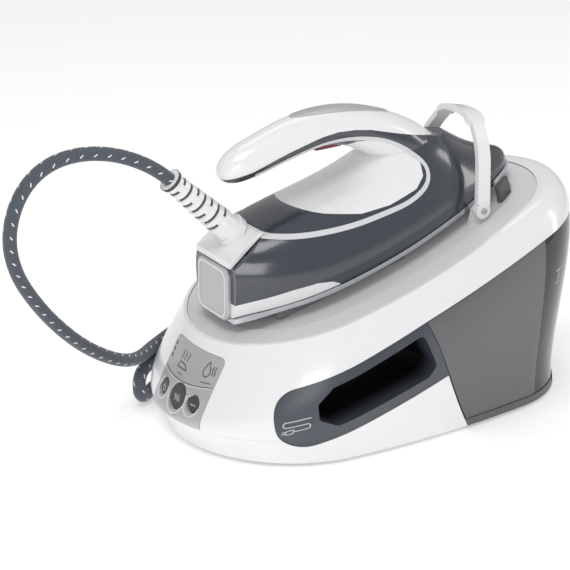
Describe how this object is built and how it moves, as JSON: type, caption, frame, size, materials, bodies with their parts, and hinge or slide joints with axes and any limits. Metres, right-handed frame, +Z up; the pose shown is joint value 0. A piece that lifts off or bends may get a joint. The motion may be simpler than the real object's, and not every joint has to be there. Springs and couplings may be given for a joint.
{
  "type": "steam generator iron",
  "caption": "Steam generator iron: a base with a boiler, a pull-out water tank and a sloping rest deck with a lock hoop, and an open-handled iron joined to it by a braided steam hose.",
  "frame": {"origin": "middle of the base's length and width, on the surface it stands on", "axes": "+X towards the water tank and the iron's nose, -Y the side with the cord compartment, +Z up"},
  "size_m": [0.4888, 0.3273, 0.2562],
  "materials": {
    "white_shell": "gloss",
    "pale_deck": "satin",
    "dark_panel": "satin",
    "dark_body": "gloss",
    "silver_plastic": "satin",
    "button_grey": "satin",
    "trigger_red": "gloss",
    "smoke_tank": "smoky",
    "tray_grey": "satin",
    "silicone_grey": "matte",
    "foot_rubber": "matte",
    "sole_metal": "polished",
    "cast_alloy": "cast",
    "boiler_steel": "brushed",
    "bolt_steel": "bright",
    "brass_fitting": "machined",
    "inner_plastic": "matte",
    "board_green": "solder mask",
    "hose_braid": "braided",
    "silicone_tube": "translucent"
  },
  "bodies": {
    "base": {"upper_shell": "white_shell", "lower_shell": "white_shell", "side_panel_near": "dark_panel", "side_panel_far": "dark_panel", "control_panel": "silver_plastic", "floor_pan": "inner_plastic", "tank_tray": "tray_grey", "feet": "foot_rubber", "bulkhead": "inner_plastic", "bay_roof": "inner_plastic", "rest_plate": "pale_deck", "hoop_pins": "bolt_steel", "rest_pads": "silicone_grey", "nose_guides": "tray_grey", "valve_socket": "inner_plastic", "boiler": "boiler_steel", "boiler_lid": "boiler_steel", "boiler_bolts": "bolt_steel", "boiler_feet": "foot_rubber", "drain_plug": "brass_fitting", "pump": "inner_plastic", "pump_feet": "foot_rubber", "steam_valve": "brass_fitting", "circuit_board": "board_green", "feed_pipe": "silicone_tube", "hose_gland": "dark_panel", "hose_combs": "dark_panel", "steam_hose": "hose_braid"},
    "hoop": {"lock_hoop": "white_shell"},
    "tank": {"water_tank": "smoke_tank", "tank_valve": "inner_plastic"},
    "flap": {"filler_flap": "smoke_tank"},
    "power": {"power_button": "button_grey"},
    "steam": {"steam_button": "button_grey"},
    "descale": {"descale_button": "button_grey"},
    "iron": {"soleplate": "sole_metal", "heat_skirt": "white_shell", "iron_body": "dark_body", "handle_cover": "white_shell", "handle_grip": "dark_body", "handle_saddle": "white_shell", "handle_pad": "silver_plastic", "trim_strip": "pale_deck", "heel_plate": "silver_plastic", "heel_cap": "white_shell", "hose_boot": "white_shell", "steam_chamber": "cast_alloy", "chamber_lid": "cast_alloy", "lid_screws": "bolt_steel", "steam_pipe": "brass_fitting"},
    "trigger": {"steam_trigger": "trigger_red"}
  },
  "joints": [
    {"name": "iron_lift_off", "type": "slide", "parent": "base", "child": "iron", "axis": [-0.9511, 0, 0.309], "range_m": [0, 0.12], "deforming": ["steam_hose"]},
    {"name": "trigger_press", "type": "slide", "parent": "iron", "child": "trigger", "axis": [-0.0436, 0, 0.999], "range_m": [0, 0.003], "stiffness_N_per_m": 600},
    {"name": "hoop_fold", "type": "hinge", "parent": "base", "child": "hoop", "pos_m": [0.078, 0, 0.166], "axis": [0, 1, 0], "range_deg": [0, 58]},
    {"name": "tank_pull_out", "type": "slide", "parent": "base", "child": "tank", "axis": [1, 0, 0], "range_m": [0, 0.22]},
    {"name": "filler_flap_open", "type": "hinge", "parent": "tank", "child": "flap", "pos_m": [0.1812, 0, 0.1212], "axis": [0, 1, 0], "range_deg": [0, 70]},
    {"name": "power_press", "type": "slide", "parent": "base", "child": "power", "axis": [0.9446, -0.135, -0.299], "range_m": [0, 0.0012], "stiffness_N_per_m": 500},
    {"name": "steam_press", "type": "slide", "parent": "base", "child": "steam", "axis": [0.9515, 0.072, -0.299], "range_m": [0, 0.0012], "stiffness_N_per_m": 500},
    {"name": "descale_press", "type": "slide", "parent": "base", "child": "descale", "axis": [0.9203, 0.2521, -0.299], "range_m": [0, 0.0012], "stiffness_N_per_m": 500}
  ]
}
